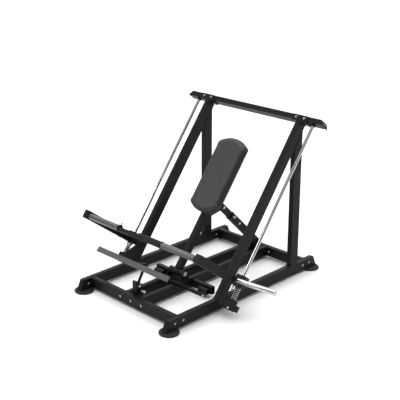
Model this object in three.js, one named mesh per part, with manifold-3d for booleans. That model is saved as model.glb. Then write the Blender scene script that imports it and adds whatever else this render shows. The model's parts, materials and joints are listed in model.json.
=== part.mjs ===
// Plate-loaded leg press with an inclined guide-rod carriage, an adjustable back pad and a tilting footrest.
// Millimetres, +Z up, +Y towards the rear posts, +X to the right seen from the footrest end.
// The origin lies on the floor under the middle of the base.
import * as THREE from "three";
import { mergeVertices } from "three/addons/utils/BufferGeometryUtils.js";
import Module from "manifold-3d";

const wasm = await Module();
wasm.setup();

// ---------- driving dimensions ----------
const GAP = 0.3; // left between touching pieces
const WALL = 3; // of every rectangular tube
const TUBE_CORNER = 4.5;
const PLATE = 8; // welded brackets and lugs

// Base frame of 50 x 100 tubes, standing on four round feet.
const FOOT = { radius: 90, height: 22, y: 945 };
const TUBE = { width: 50, height: 100 };
const BASE_TOP = FOOT.height + TUBE.height;
const BASE_HALF_WIDTH = 600;
const SIDE = { halfTop: 961, halfBottom: 1005, x: BASE_HALF_WIDTH - TUBE.width / 2 };
const END_PLATE = 4;
const CROSS_TUBE_Y = 850; // centre line of the front and rear cross tubes
const SPINE_X = 92;
const LOW_CROSS = { depth: 45, height: 73, y: -203, top: 108, halfWidth: 369 };
const LOW_SOCKET = { inner: 240, outer: 350, size: 50, top: 90 };
const SPINE_BAR = { halfWidth: 494, y: -436, thickness: 12, height: 30 };

// Inclined rails, guide rods and crossbar. Here y is depth behind the rails' front plane and z runs uphill.
const RAIL_ANGLE = THREE.MathUtils.degToRad(53);
const RAIL_FOOT_Y = -390;
const RAIL = { width: 50, depth: 95, length: 1781 };
const POST = { front: 617, rear: 720 };
const CROSSBAR = { halfTop: 805, halfBottom: 840, depth: 98, height: 50 };
const SADDLE = { inner: 505, outer: 670, leg: 6, flange: 10 };
const ROD = { radius: 15, x: 721, depth: 43 };
const ROD_BLOCK = { inner: 674, outer: 758, front: 4, rear: 79, bottom: -37, top: 58 };
const ROD_BLOCK_EAR = { outer: 820, top: 21, rear: 52 };
const GUSSET = { top: 180, outer: 690 };
const SPRING = { radius: 22.5, wire: 3.5, turns: 8, top: 158 };

// Carriage: two arms square to the slope, sliding on the guide rods.
const HOUSING = { size: 90, bottom: 176, top: 285, corner: 10 };
const BEARING = { radius: 24, flange: 30, bottom: 158.3 };
const ROD_CLEARANCE = 0.4;
const ARM = { width: 60, height: 78, x: 730, z: 215, reach: 634 };
const STOP_BOLT = { radius: 8, x: 686, depth: 12, bottom: 125, headHeight: 9, headRadius: 12 };
const HORN = { radius: 24, bore: 20, flange: 42, flangeLength: 10, cap: 6, tip: 1197, depth: -85, z: 217 };
const HORN_TILT = THREE.MathUtils.degToRad(3.2);
const BAR = { radius: 28.5, bore: 25.5, collar: 34, collarLength: 12, inner: 271, depth: -600, z: 210 };
const CARRIER = { depth: 50, height: 40 };
const BLOCK = { halfWidth: 133, front: -500, rear: -452, bottom: 214, top: 250, corner: 7 };

// Back pad on a pivoting post, held by a telescopic strut.
const PAD_PIVOT = { y: -298, z: 173 };
const PAD_ANGLE = THREE.MathUtils.degToRad(52.5);
const PIVOT_TUBE = { radius: 33, bore: 16, halfLength: 88 };
const PAD_POST = { size: 60, top: 1150 };
const PAD = { halfWidth: 176, straightBottom: 658, straightTop: 1292, bulge: 66, thickness: 50 };
const BOARD = { inset: 4, thickness: 12 };
const PIVOT_LUG = { halfFoot: 55, crown: 26, shoulder: 12 };
const STRUT_TOP = { depth: 169.6, z: 741.5 }; // in the pad post's frame
const STRUT_LUG = { footLow: 165, footHigh: 35, head: [[-6, -24], [16, -14], [18, 6], [0, 17]] };
const STRUT_ANCHOR = { y: 799, z: 150 };
const STRUT_OUTER = { width: 50, depth: 76, bottom: -20, top: 560 };
const STRUT_INNER = { width: 40, depth: 66, bottom: 250 };
const STRUT_PIN_Z = 536;
const ANCHOR_LUG = { bottom: 50, seatTop: 104, rise: 18, head: [[8, 26], [-14, 24], [-26, 0], [-14, -40]] };
const PULL_PIN = [[6, 2], [6, 10], [11, 12], [13, 18], [11, 26], [6, 29], [0, 29]]; // neck and knob
const PIN_BARREL = { radius: 9, strut: 6, footrest: 44 };

// Footrest: a narrow grit-coated plate on a hinged prop behind the front cross tube.
const FOOTREST_HINGE = { y: -787, z: 200 };
const FOOTREST = { halfWidth: 470, depth: 52, thickness: 6, y: -849.5, z: 430.5 };
const FOOTREST_ANGLE = THREE.MathUtils.degToRad(43);
const PROP = { radius: 12.5, y: -696, z: 362, sleeve: 16, armWidth: 36, armDepth: 34, seatWidth: 120 };
const PROP_ARM_START = { y: 10.5, z: -11 }; // from the plate's centre
const UPRIGHT = { halfWidth: 24, front: -824.7, rear: -806, bottom: 60, top: 246 };
const CHEEK = { reach: 26, low: 120, frontLow: 140, shoulder: 14 };
const FOOTREST_PIN = { y: 2, z: -42 }; // from the hinge

const SIDES = [
  { name: "left", sign: -1 },
  { name: "right", sign: 1 },
];

// ---------- materials ----------
function finish(color, roughness, metalness) {
  return () => new THREE.MeshStandardMaterial({ color, roughness, metalness });
}

const powderBlack = finish(0x17181a, 0.5, 0.3);
const chrome = finish(0xd9dcdf, 0.12, 1);
const rubber = finish(0x141414, 0.85, 0);
const vinyl = finish(0x3a3b3d, 0.55, 0);
const gripGrey = finish(0xa9abad, 0.7, 0.2);
const board = finish(0x1b1b1b, 0.8, 0);
const bearingSteel = finish(0x77797c, 0.35, 0.8);

// ---------- scene graph helpers ----------
const machine = new THREE.Group();

function add(parent, name, geometry, material, position = [0, 0, 0], rotation = [0, 0, 0]) {
  const mesh = new THREE.Mesh(geometry, material());
  mesh.name = name;
  mesh.position.set(...position);
  mesh.rotation.set(...rotation);
  parent.add(mesh);
}

// A frame tipped about X, so that its z axis points uphill at the given angle above the floor.
function slopedFrame(parent, angle, y, z) {
  const frame = new THREE.Group();
  frame.position.set(0, y, z);
  frame.rotation.x = angle - Math.PI / 2;
  parent.add(frame);
  return frame;
}

// ---------- geometry helpers ----------
const X = new THREE.Vector3(1, 0, 0);
const Y = new THREE.Vector3(0, 1, 0);
const Z = new THREE.Vector3(0, 0, 1);

function shapeOf(points) {
  return new THREE.Shape(points.map(([a, b]) => new THREE.Vector2(a, b)));
}

// A shape pushed along z, centred on z = 0.
function extrude(shape, depth, curveSegments = 12) {
  const geometry = new THREE.ExtrudeGeometry(shape, { depth, bevelEnabled: false, curveSegments });
  return geometry.translate(0, 0, -depth / 2);
}

// An outline of (y, z) points, pushed along X.
const sideways = (geometry) => geometry.applyMatrix4(new THREE.Matrix4().makeBasis(Y, Z, X));

// An outline of (x, z) points, pushed along Y.
const facing = (geometry) => geometry.applyMatrix4(new THREE.Matrix4().makeBasis(X, Z, Y.clone().negate()));

const sidePlate = (points, width) => sideways(extrude(shapeOf(points), width));
const facePlate = (points, depth) => facing(extrude(shapeOf(points), depth));

function rectangle(a0, a1, b0, b1) {
  return [[a0, b0], [a1, b0], [a1, b1], [a0, b1]];
}

function box(x0, x1, y0, y1, z0, z1) {
  const block = new THREE.BoxGeometry(x1 - x0, y1 - y0, z1 - z0);
  return block.translate((x0 + x1) / 2, (y0 + y1) / 2, (z0 + z1) / 2);
}

// A box between an inner and an outer distance from the machine's centre plane, on the given side.
function sideBox(sign, inner, outer, ...rest) {
  return sign < 0 ? box(-outer, -inner, ...rest) : box(inner, outer, ...rest);
}

// Two plates facing each other across the centre plane, their inner faces at x = -inner and x = inner.
function lugPair(outline, inner) {
  return [-1, 1].map((sign) => sidePlate(outline, PLATE).translate(sign * (inner + PLATE / 2), 0, 0));
}

// A rectangle about the origin with quarter-round corners of the given number of steps.
function roundedRectangle(width, height, corner, steps = 4) {
  const points = [];
  for (let quarter = 0; quarter < 4; quarter++) {
    const [signA, signB] = [[1, 1], [-1, 1], [-1, -1], [1, -1]][quarter];
    for (let i = 0; i <= steps; i++) {
      const angle = ((quarter + i / steps) * Math.PI) / 2;
      const a = signA * (width / 2 - corner) + corner * Math.cos(angle);
      const b = signB * (height / 2 - corner) + corner * Math.sin(angle);
      points.push([a, b]);
    }
  }
  return shapeOf(points);
}

// An open-ended rectangular tube along z.
function squareTube(width, height, length) {
  const shape = roundedRectangle(width, height, TUBE_CORNER, 2);
  const [a, b] = [width / 2 - WALL, height / 2 - WALL];
  shape.holes.push(shapeOf(rectangle(-a, a, -b, b)));
  return extrude(shape, length);
}

// A profile of (radius, z) points turned about z.
function turned(profile, segments = 32) {
  const points = profile.map(([radius, z]) => new THREE.Vector2(radius, z));
  return new THREE.LatheGeometry(points, segments).rotateX(Math.PI / 2);
}

function rod(radius, from, to, segments) {
  return turned([[0, from], [radius, from], [radius, to], [0, to]], segments);
}

// Turned pieces made along z, laid along X towards the given side.
const alongX = (geometry, sign = 1) => geometry.rotateY((sign * Math.PI) / 2);

function solid(geometry) {
  const bare = geometry.clone();
  bare.deleteAttribute("normal");
  bare.deleteAttribute("uv");
  const merged = mergeVertices(bare, 1e-4);
  const count = merged.attributes.position.count;
  const triVerts = merged.index
    ? new Uint32Array(merged.index.array)
    : Uint32Array.from({ length: count }, (_, i) => i);
  const vertProperties = new Float32Array(merged.attributes.position.array);
  return new wasm.Manifold(new wasm.Mesh({ numProp: 3, vertProperties, triVerts }));
}

function geometryOf(manifold) {
  const { vertProperties, triVerts } = manifold.getMesh();
  const geometry = new THREE.BufferGeometry();
  geometry.setAttribute("position", new THREE.BufferAttribute(vertProperties, 3));
  geometry.setIndex(new THREE.BufferAttribute(triVerts, 1));
  return geometry;
}

const join = (...parts) => geometryOf(parts.map(solid).reduce((whole, part) => whole.add(part)));

function cut(body, ...tools) {
  return geometryOf(tools.map(solid).reduce((rest, tool) => rest.subtract(tool), solid(body)));
}

// A tube whose ends are mitred in its outline of (a, b) points. It is open along its first or second axis.
function mitredTube(outline, depth, open) {
  const a = outline.map((point) => point[0]);
  const b = outline.map((point) => point[1]);
  const past = WALL * 2;
  const [insetA, insetB] = open === "first" ? [-past, WALL] : [WALL, -past];
  const hollow = rectangle(
    Math.min(...a) + insetA,
    Math.max(...a) - insetA,
    Math.min(...b) + insetB,
    Math.max(...b) - insetB,
  );
  return cut(extrude(shapeOf(outline), depth), extrude(shapeOf(hollow), depth - 2 * WALL));
}

// ---------- base frame ----------
function addFeet() {
  const { radius, height, y } = FOOT;
  const top = height - GAP;
  const profile = [[0, 0], [radius - 8, 0], [radius, 5], [radius, top - 8], [radius - 10, top], [0, top]];
  for (const { name, sign } of SIDES) {
    add(machine, `foot_front_${name}`, turned(profile), rubber, [sign * SIDE.x, -y, 0]);
    add(machine, `foot_rear_${name}`, turned(profile), rubber, [sign * SIDE.x, y, 0]);
  }
}

function addBaseTubes() {
  const { halfTop, halfBottom, x } = SIDE;
  const outline = [
    [-halfBottom, FOOT.height],
    [halfBottom, FOOT.height],
    [halfTop, BASE_TOP],
    [-halfTop, BASE_TOP],
  ];
  const slant = END_PLATE * Math.hypot(1, (halfBottom - halfTop) / TUBE.height);
  const cap = (end) => [
    [end * (halfBottom + GAP * 1.5), FOOT.height],
    [end * (halfBottom + GAP * 1.5 + slant), FOOT.height],
    [end * (halfTop + GAP * 1.5 + slant), BASE_TOP],
    [end * (halfTop + GAP * 1.5), BASE_TOP],
  ];
  const crossLength = 2 * (BASE_HALF_WIDTH - TUBE.width - GAP);
  const spineLength = 2 * CROSS_TUBE_Y - TUBE.width - 2 * GAP;
  const middle = (FOOT.height + BASE_TOP) / 2;
  for (const { name, sign } of SIDES) {
    const tube = sideways(mitredTube(outline, TUBE.width, "first"));
    add(machine, `side_tube_${name}`, tube, powderBlack, [sign * x, 0, 0]);
    add(machine, `side_end_front_${name}`, sidePlate(cap(-1), TUBE.width), powderBlack, [sign * x, 0, 0]);
    add(machine, `side_end_rear_${name}`, sidePlate(cap(1), TUBE.width), powderBlack, [sign * x, 0, 0]);
    const spine = squareTube(TUBE.width, TUBE.height, spineLength).rotateX(Math.PI / 2);
    add(machine, `spine_tube_${name}`, spine, powderBlack, [sign * SPINE_X, 0, middle]);
  }
  const crossTube = () => alongX(squareTube(TUBE.height, TUBE.width, crossLength));
  add(machine, "front_cross_tube", crossTube(), powderBlack, [0, -CROSS_TUBE_Y, middle]);
  add(machine, "rear_cross_tube", crossTube(), powderBlack, [0, CROSS_TUBE_Y, middle]);
}

// Beside the spine, open-ended stubs with short sockets in front of them. Across its tubes, a flat bar.
function addLowCrossPieces() {
  const { depth, height, y, top, halfWidth } = LOW_CROSS;
  const { inner: socketInner, outer: socketOuter, size, top: socketTop } = LOW_SOCKET;
  const inner = SPINE_X + TUBE.width / 2 + GAP;
  const socketY = y - (depth + size) / 2 + 1;
  for (const { name, sign } of SIDES) {
    const stub = alongX(squareTube(height, depth, halfWidth - inner));
    stub.translate((sign * (halfWidth + inner)) / 2, y, top - height / 2);
    const socket = alongX(squareTube(size, size, socketOuter - socketInner));
    socket.translate((sign * (socketOuter + socketInner)) / 2, socketY, socketTop - size / 2);
    add(machine, `low_cross_stub_${name}`, join(stub, socket), powderBlack);
  }
  const { halfWidth: reach, y: barY, thickness, height: barHeight } = SPINE_BAR;
  const foot = BASE_TOP + GAP;
  const bar = box(-reach, reach, barY - thickness / 2, barY + thickness / 2, foot, foot + barHeight);
  add(machine, "spine_cross_bar", bar, powderBlack);
}

// ---------- inclined frame ----------
const slope = slopedFrame(machine, RAIL_ANGLE, RAIL_FOOT_Y, BASE_TOP + GAP);
const cosRail = Math.cos(RAIL_ANGLE);
const sinRail = Math.sin(RAIL_ANGLE);

// Height of the plane at the given depth behind the rails' front, above a point y on the floor.
function slopeHeight(depth, y) {
  const along = (y - RAIL_FOOT_Y - depth * sinRail) / cosRail;
  return BASE_TOP + GAP + along * sinRail - depth * cosRail;
}

function addRailsAndPosts() {
  const { width, depth, length } = RAIL;
  const railTop = length - SADDLE.flange - GAP;
  const railOutline = [[0, 0], [depth, depth / Math.tan(RAIL_ANGLE)], [depth, railTop], [0, railTop]];
  const foot = BASE_TOP + GAP;
  const clearance = 2 * GAP;
  const postOutline = [
    [POST.front, foot],
    [POST.rear, foot],
    [POST.rear, slopeHeight(depth, POST.rear) - clearance],
    [POST.front, slopeHeight(depth, POST.front) - clearance],
  ];
  for (const { name, sign } of SIDES) {
    const rail = sideways(mitredTube(railOutline, width, "second"));
    add(slope, `inclined_rail_${name}`, rail, powderBlack, [sign * SIDE.x, 0, 0]);
    const post = sideways(mitredTube(postOutline, TUBE.width, "second"));
    add(machine, `rear_post_${name}`, post, powderBlack, [sign * SIDE.x, 0, 0]);
  }
}

function addCrossbar() {
  const { halfTop, halfBottom, depth, height } = CROSSBAR;
  const bottom = RAIL.length + GAP;
  const top = bottom + height;
  const outline = [[-halfBottom, bottom], [halfBottom, bottom], [halfTop, top], [-halfTop, top]];
  add(slope, "top_crossbar", facing(mitredTube(outline, depth, "first")), powderBlack, [0, depth / 2, 0]);
  const slant = END_PLATE * Math.hypot(1, (halfBottom - halfTop) / height);
  const start = GAP * 1.5;
  for (const { name, sign } of SIDES) {
    const cap = [
      [sign * (halfBottom + start), bottom],
      [sign * (halfBottom + start + slant), bottom],
      [sign * (halfTop + start + slant), top],
      [sign * (halfTop + start), top],
    ];
    add(slope, `crossbar_end_${name}`, facePlate(cap, depth), powderBlack, [0, depth / 2, 0]);
    const { inner, outer, leg, flange } = SADDLE;
    const saddle = [
      [-GAP - leg, RAIL.length - flange],
      [depth, RAIL.length - flange],
      [depth, RAIL.length],
      [-GAP, RAIL.length],
      [-GAP, top],
      [-GAP - leg, top],
    ];
    const place = [(sign * (inner + outer)) / 2, 0, 0];
    add(slope, `rail_head_saddle_${name}`, sidePlate(saddle, outer - inner), powderBlack, place);
  }
}

// A coil with closed flat-lying ends, wound about z between two heights.
function coilSpring(from, to) {
  const { radius, wire, turns } = SPRING;
  const low = from + wire;
  const high = to - wire;
  class Helix extends THREE.Curve {
    getPoint(t, target = new THREE.Vector3()) {
      const angle = t * turns * 2 * Math.PI;
      return target.set(radius * Math.cos(angle), radius * Math.sin(angle), low + (high - low) * t);
    }
  }
  const section = new THREE.Shape();
  section.absarc(0, 0, wire, 0, 2 * Math.PI, false);
  const extrudePath = new Helix();
  return new THREE.ExtrudeGeometry(section, { steps: turns * 10, curveSegments: 3, extrudePath });
}

function addGuideRods() {
  const { inner, outer, front, rear, bottom, top } = ROD_BLOCK;
  const railSide = BASE_HALF_WIDTH + GAP;
  for (const { name, sign } of SIDES) {
    const place = [sign * ROD.x, ROD.depth, 0];
    add(slope, `guide_rod_${name}`, rod(ROD.radius, top + GAP, RAIL.length - GAP, 32), chrome, place);
    const gussetOutline = [
      [railSide, GUSSET.top],
      [railSide, 2 * GAP],
      [GUSSET.outer - 2 * PLATE, bottom],
      [GUSSET.outer, bottom],
      [GUSSET.outer, top],
    ].map(([x, z]) => [sign * x, z]);
    const gusset = facePlate(gussetOutline, PLATE).translate(0, front + PLATE / 2, 0);
    const block = sideBox(sign, inner, outer, front, rear, bottom, top);
    const { outer: earOuter, top: earTop, rear: earRear } = ROD_BLOCK_EAR;
    const ear = sideBox(sign, ROD.x, earOuter, front, earRear, bottom + PLATE / 2, earTop);
    const web = sideBox(sign, railSide, ROD.x, rear - 2 * PLATE, rear - PLATE, top - 4 * PLATE, top);
    add(slope, `rod_foot_bracket_${name}`, join(block, ear, gusset, web), powderBlack);
    add(slope, `bumper_spring_${name}`, coilSpring(top + 2 * GAP, SPRING.top), chrome, place);
  }
}

// ---------- carriage ----------
function addCarriage() {
  const { size, bottom, top, corner } = HOUSING;
  const middle = (bottom + top) / 2;
  const housingFront = ROD.depth - size / 2;
  const circle = (radius) => new THREE.Path().absarc(0, 0, radius, 0, 2 * Math.PI, true);
  const armLength = ARM.reach + housingFront - GAP;
  for (const { name, sign } of SIDES) {
    const housing = roundedRectangle(size, size, corner);
    housing.holes.push(circle(BEARING.radius + GAP));
    const place = [sign * ROD.x, ROD.depth, middle];
    add(slope, `bearing_housing_${name}`, extrude(housing, top - bottom, 16), powderBlack, place);
    const bore = ROD.radius + ROD_CLEARANCE;
    const bearing = turned([
      [bore, BEARING.bottom],
      [BEARING.flange, BEARING.bottom],
      [BEARING.flange, bottom - GAP],
      [BEARING.radius, bottom - GAP],
      [BEARING.radius, top],
      [bore, top],
      [bore, BEARING.bottom],
    ]);
    add(slope, `linear_bearing_${name}`, bearing, bearingSteel, [sign * ROD.x, ROD.depth, 0]);

    const outside = box(-ARM.width / 2, ARM.width / 2, -armLength, 0, -ARM.height / 2, ARM.height / 2);
    const inside = box(
      WALL - ARM.width / 2,
      ARM.width / 2 - WALL,
      END_PLATE - armLength,
      WALL,
      WALL - ARM.height / 2,
      ARM.height / 2 - WALL,
    );
    const armPlace = [sign * ARM.x, housingFront - GAP, ARM.z];
    add(slope, `carriage_arm_${name}`, cut(outside, inside), powderBlack, armPlace);

    const { radius, x, depth, bottom: boltBottom, headHeight, headRadius } = STOP_BOLT;
    const bolt = turned(
      [
        [0, boltBottom],
        [headRadius, boltBottom],
        [headRadius, boltBottom + headHeight],
        [radius, boltBottom + headHeight],
        [radius, bottom - GAP],
        [0, bottom - GAP],
      ],
      24,
    );
    add(slope, `stop_bolt_${name}`, bolt, chrome, [sign * x, depth, 0]);
    addHorn(name, sign);
    addHandle(name, sign);
  }
  addBarCarrier();
}

// A weight horn: a chrome tube, tipped up a little from a flange against the arm, with a closed tip.
function addHorn(name, sign) {
  const start = ARM.x + ARM.width / 2 + GAP;
  const length = HORN.tip - start;
  const profile = [
    [0, HORN.flangeLength / 2],
    [HORN.radius, HORN.flangeLength / 2],
    [HORN.radius, length - 2],
    [HORN.radius - 2, length],
    [0, length],
  ];
  const tipped = (geometry) => alongX(geometry, sign).rotateY(-sign * HORN_TILT);
  const flange = alongX(rod(HORN.flange, 0, HORN.flangeLength, 32), sign);
  const bore = tipped(rod(HORN.bore, -HORN.flangeLength, length - HORN.cap, 32));
  const horn = cut(join(flange, tipped(turned(profile))), bore);
  add(slope, `weight_horn_${name}`, horn, chrome, [sign * start, HORN.depth, HORN.z]);
}

// The round bar between the arms: a satin tube on each side of the carrier, collared at its inner end.
function addHandle(name, sign) {
  const { radius, bore, collar, collarLength, inner, depth, z } = BAR;
  const length = ARM.x - ARM.width / 2 - GAP - inner;
  const profile = [
    [bore, 0],
    [collar, 0],
    [collar, collarLength],
    [radius, collarLength],
    [radius, length],
    [bore, length],
    [bore, 0],
  ];
  add(slope, `press_bar_${name}`, alongX(turned(profile), sign), gripGrey, [sign * inner, depth, z]);
}

function addBarCarrier() {
  const { halfWidth, front, rear, bottom, top, corner } = BLOCK;
  const reach = BAR.inner - GAP;
  const low = BAR.z - BAR.radius;
  const { depth, height } = CARRIER;
  const beam = box(-reach, reach, BAR.depth - depth / 2, BAR.depth + depth / 2, low, low + height);
  const lugs = [-1, 1].map((sign) => {
    const x = sign * halfWidth * 0.8;
    return box(x - PLATE / 2, x + PLATE / 2, BAR.depth, rear - PLATE, low + PLATE, bottom - GAP);
  });
  add(slope, "bar_carrier", join(beam, ...lugs), powderBlack);
  const section = roundedRectangle(rear - front, top - bottom, corner);
  const place = [0, (front + rear) / 2, (bottom + top) / 2];
  add(slope, "rest_block", sideways(extrude(section, 2 * halfWidth)), rubber, place);
}

// ---------- back pad ----------
const backrest = slopedFrame(machine, PAD_ANGLE, PAD_PIVOT.y, PAD_PIVOT.z);

// The pad's outline of straight sides and arced ends, in x and height along the post.
function padShape(inset) {
  const half = PAD.halfWidth - inset;
  const bulge = PAD.bulge - inset / 2;
  const radius = (half * half + bulge * bulge) / (2 * bulge);
  const spread = Math.asin(half / radius);
  const shape = new THREE.Shape();
  const topCentre = PAD.straightTop + bulge - radius;
  const bottomCentre = PAD.straightBottom - bulge + radius;
  shape.moveTo(half, PAD.straightBottom);
  shape.absarc(0, topCentre, radius, Math.PI / 2 - spread, Math.PI / 2 + spread, false);
  shape.absarc(0, bottomCentre, radius, 1.5 * Math.PI - spread, 1.5 * Math.PI + spread, false);
  return shape;
}

function addBackrest() {
  const { radius, bore, halfLength } = PIVOT_TUBE;
  const sleeve = [
    [bore, -halfLength],
    [radius, -halfLength],
    [radius, halfLength],
    [bore, halfLength],
    [bore, -halfLength],
  ];
  add(backrest, "pad_pivot_tube", alongX(turned(sleeve)), powderBlack);
  const foot = radius + GAP;
  const length = PAD_POST.top - foot;
  const post = squareTube(PAD_POST.size, PAD_POST.size, length);
  add(backrest, "pad_post", post, powderBlack, [0, 0, foot + length / 2]);

  const boardRear = -PAD_POST.size / 2 - GAP;
  const boardFront = boardRear - BOARD.thickness;
  const backing = facing(extrude(padShape(BOARD.inset), BOARD.thickness, 16));
  add(backrest, "pad_board", backing, board, [0, boardRear - BOARD.thickness / 2, 0]);
  const cushion = facing(extrude(padShape(0), PAD.thickness, 20));
  add(backrest, "back_pad", cushion, vinyl, [0, boardFront - GAP - PAD.thickness / 2, 0]);

  const lugX = STRUT_INNER.width / 2 + 1;
  const behind = PAD_POST.size / 2 + GAP;
  const { depth, z } = STRUT_TOP;
  const [lugBottom, lugTop] = [z - STRUT_LUG.footLow, z - STRUT_LUG.footHigh];
  const head = STRUT_LUG.head.map(([back, up]) => [depth + back, z + up]);
  const lugOutline = [[behind, lugBottom], ...head, [behind, lugTop]];
  const seat = box(-lugX - PLATE, lugX + PLATE, behind, behind + PLATE, lugBottom, lugTop);
  add(backrest, "strut_lug_bracket", join(seat, ...lugPair(lugOutline, lugX)), powderBlack);
}

function addPadBracket() {
  const lugX = PIVOT_TUBE.halfLength + 2;
  const reach = SPINE_X + TUBE.width / 2 - 3;
  const foot = BASE_TOP + GAP;
  const { y, z } = PAD_PIVOT;
  const { halfFoot, crown, shoulder } = PIVOT_LUG;
  const base = box(-reach, reach, y - halfFoot, y + halfFoot, foot, foot + PLATE);
  const lugOutline = [
    [y - halfFoot, foot],
    [y + halfFoot, foot],
    [y + crown, z + shoulder],
    [y + shoulder, z + crown],
    [y - shoulder, z + crown],
    [y - crown, z + shoulder],
  ];
  add(machine, "pad_pivot_bracket", join(base, ...lugPair(lugOutline, lugX)), powderBlack);
}

// ---------- strut ----------
function addStrut() {
  const topY = PAD_PIVOT.y + STRUT_TOP.depth * Math.sin(PAD_ANGLE) + STRUT_TOP.z * Math.cos(PAD_ANGLE);
  const topZ = PAD_PIVOT.z - STRUT_TOP.depth * Math.cos(PAD_ANGLE) + STRUT_TOP.z * Math.sin(PAD_ANGLE);
  const reach = Math.hypot(topY - STRUT_ANCHOR.y, topZ - STRUT_ANCHOR.z);
  const angle = Math.atan2(topZ - STRUT_ANCHOR.z, topY - STRUT_ANCHOR.y);
  const strut = slopedFrame(machine, angle, STRUT_ANCHOR.y, STRUT_ANCHOR.z);

  const { width, depth, bottom, top } = STRUT_OUTER;
  const outer = squareTube(width, depth, top - bottom);
  add(strut, "strut_outer_tube", outer, powderBlack, [0, 0, (top + bottom) / 2]);
  const innerTop = reach + 14;
  const inner = squareTube(STRUT_INNER.width, STRUT_INNER.depth, innerTop - STRUT_INNER.bottom);
  add(strut, "strut_inner_tube", inner, powderBlack, [0, 0, (innerTop + STRUT_INNER.bottom) / 2]);
  const pin = alongX(pullPin(PIN_BARREL.strut));
  add(strut, "strut_pull_pin", pin, chrome, [width / 2 + GAP, 0, STRUT_PIN_Z]);
}

// A spring-loaded pull pin's barrel, neck and knob, standing on z = 0.
function pullPin(barrel) {
  const { radius } = PIN_BARREL;
  const knob = PULL_PIN.map(([knobRadius, height]) => [knobRadius, barrel + height]);
  return turned([[0, 0], [radius, 0], [radius, barrel], ...knob], 28);
}

function addStrutAnchor() {
  const { y, z } = STRUT_ANCHOR;
  const back = CROSS_TUBE_Y - TUBE.width / 2 - GAP;
  const inner = STRUT_OUTER.width / 2 + 1;
  const { bottom, seatTop, rise } = ANCHOR_LUG;
  const head = ANCHOR_LUG.head.map(([across, up]) => [y + across, z + up]);
  const lugOutline = [[back, bottom], [back, z + rise], ...head, [y, bottom]];
  const base = box(-inner - PLATE, inner + PLATE, back - PLATE, back, bottom, seatTop);
  add(machine, "strut_anchor_bracket", join(base, ...lugPair(lugOutline, inner)), powderBlack);
}

// ---------- footrest ----------
function addFootrest() {
  const { halfWidth, depth, thickness, y, z } = FOOTREST;
  const plate = box(-halfWidth, halfWidth, -depth / 2, depth / 2, -thickness, 0);
  add(machine, "footrest_plate", plate, gripGrey, [0, y, z], [FOOTREST_ANGLE, 0, 0]);

  // The prop, its hinge sleeve, the arm that reaches forward from its head, and the seat behind the plate.
  const [riseY, riseZ] = [PROP.y - FOOTREST_HINGE.y, PROP.z - FOOTREST_HINGE.z];
  const shaft = rod(PROP.radius, 0, Math.hypot(riseY, riseZ), 28).rotateX(-Math.atan2(riseY, riseZ));
  const sleeveHalf = UPRIGHT.halfWidth - PLATE - GAP;
  const sleeve = alongX(rod(PROP.sleeve, -sleeveHalf, sleeveHalf, 28));
  const seatTop = -thickness - GAP;
  const seatHalf = PROP.seatWidth / 2;
  const seat = box(-seatHalf, seatHalf, -depth / 2, depth / 2, seatTop - PLATE, seatTop);
  const [plateY, plateZ] = [y - FOOTREST_HINGE.y, z - FOOTREST_HINGE.z];
  seat.rotateX(FOOTREST_ANGLE).translate(0, plateY, plateZ);
  const [backY, backZ] = [plateY + PROP_ARM_START.y, plateZ + PROP_ARM_START.z];
  const { armWidth, armDepth } = PROP;
  const armLength = Math.hypot(riseY - backY, riseZ - backZ) + PROP.radius;
  const arm = box(-armWidth / 2, armWidth / 2, 0, armLength, -armDepth / 2, armDepth / 2);
  arm.rotateX(Math.atan2(riseZ - backZ, riseY - backY)).translate(0, backY, backZ);
  const place = [0, FOOTREST_HINGE.y, FOOTREST_HINGE.z];
  add(machine, "footrest_prop", join(shaft, sleeve, arm, seat), powderBlack, place);
}

function addFootrestBracket() {
  const { halfWidth, front, rear, bottom, top } = UPRIGHT;
  const upright = box(-halfWidth, halfWidth, front, rear, bottom, top);
  const { low, frontLow, shoulder } = CHEEK;
  const reach = FOOTREST_HINGE.y + CHEEK.reach;
  const cheekOutline = [
    [rear - 1, low],
    [reach, frontLow],
    [reach, FOOTREST_HINGE.z + shoulder],
    [reach - shoulder, FOOTREST_HINGE.z + CHEEK.reach],
    [rear - 1, top],
  ];
  const cheeks = lugPair(cheekOutline, halfWidth - PLATE);
  add(machine, "footrest_bracket", join(upright, ...cheeks), powderBlack);
  const place = [halfWidth + GAP, FOOTREST_HINGE.y + FOOTREST_PIN.y, FOOTREST_HINGE.z + FOOTREST_PIN.z];
  add(machine, "footrest_pull_pin", alongX(pullPin(PIN_BARREL.footrest)), chrome, place);
}

addFeet();
addBaseTubes();
addLowCrossPieces();
addRailsAndPosts();
addCrossbar();
addGuideRods();
addCarriage();
addBackrest();
addPadBracket();
addStrut();
addStrutAnchor();
addFootrest();
addFootrestBracket();

export default machine;
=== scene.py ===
# Plate-loaded leg press: materials, small hardware, weld beads and the upholstered back pad.
# Metres, +Z up, in the CAD's own frame; sizes marked as millimetres are multiplied by MM.
import json
import math
import random

import bmesh
import bpy
from mathutils import Matrix, Vector
from mathutils.bvhtree import BVHTree


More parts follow.
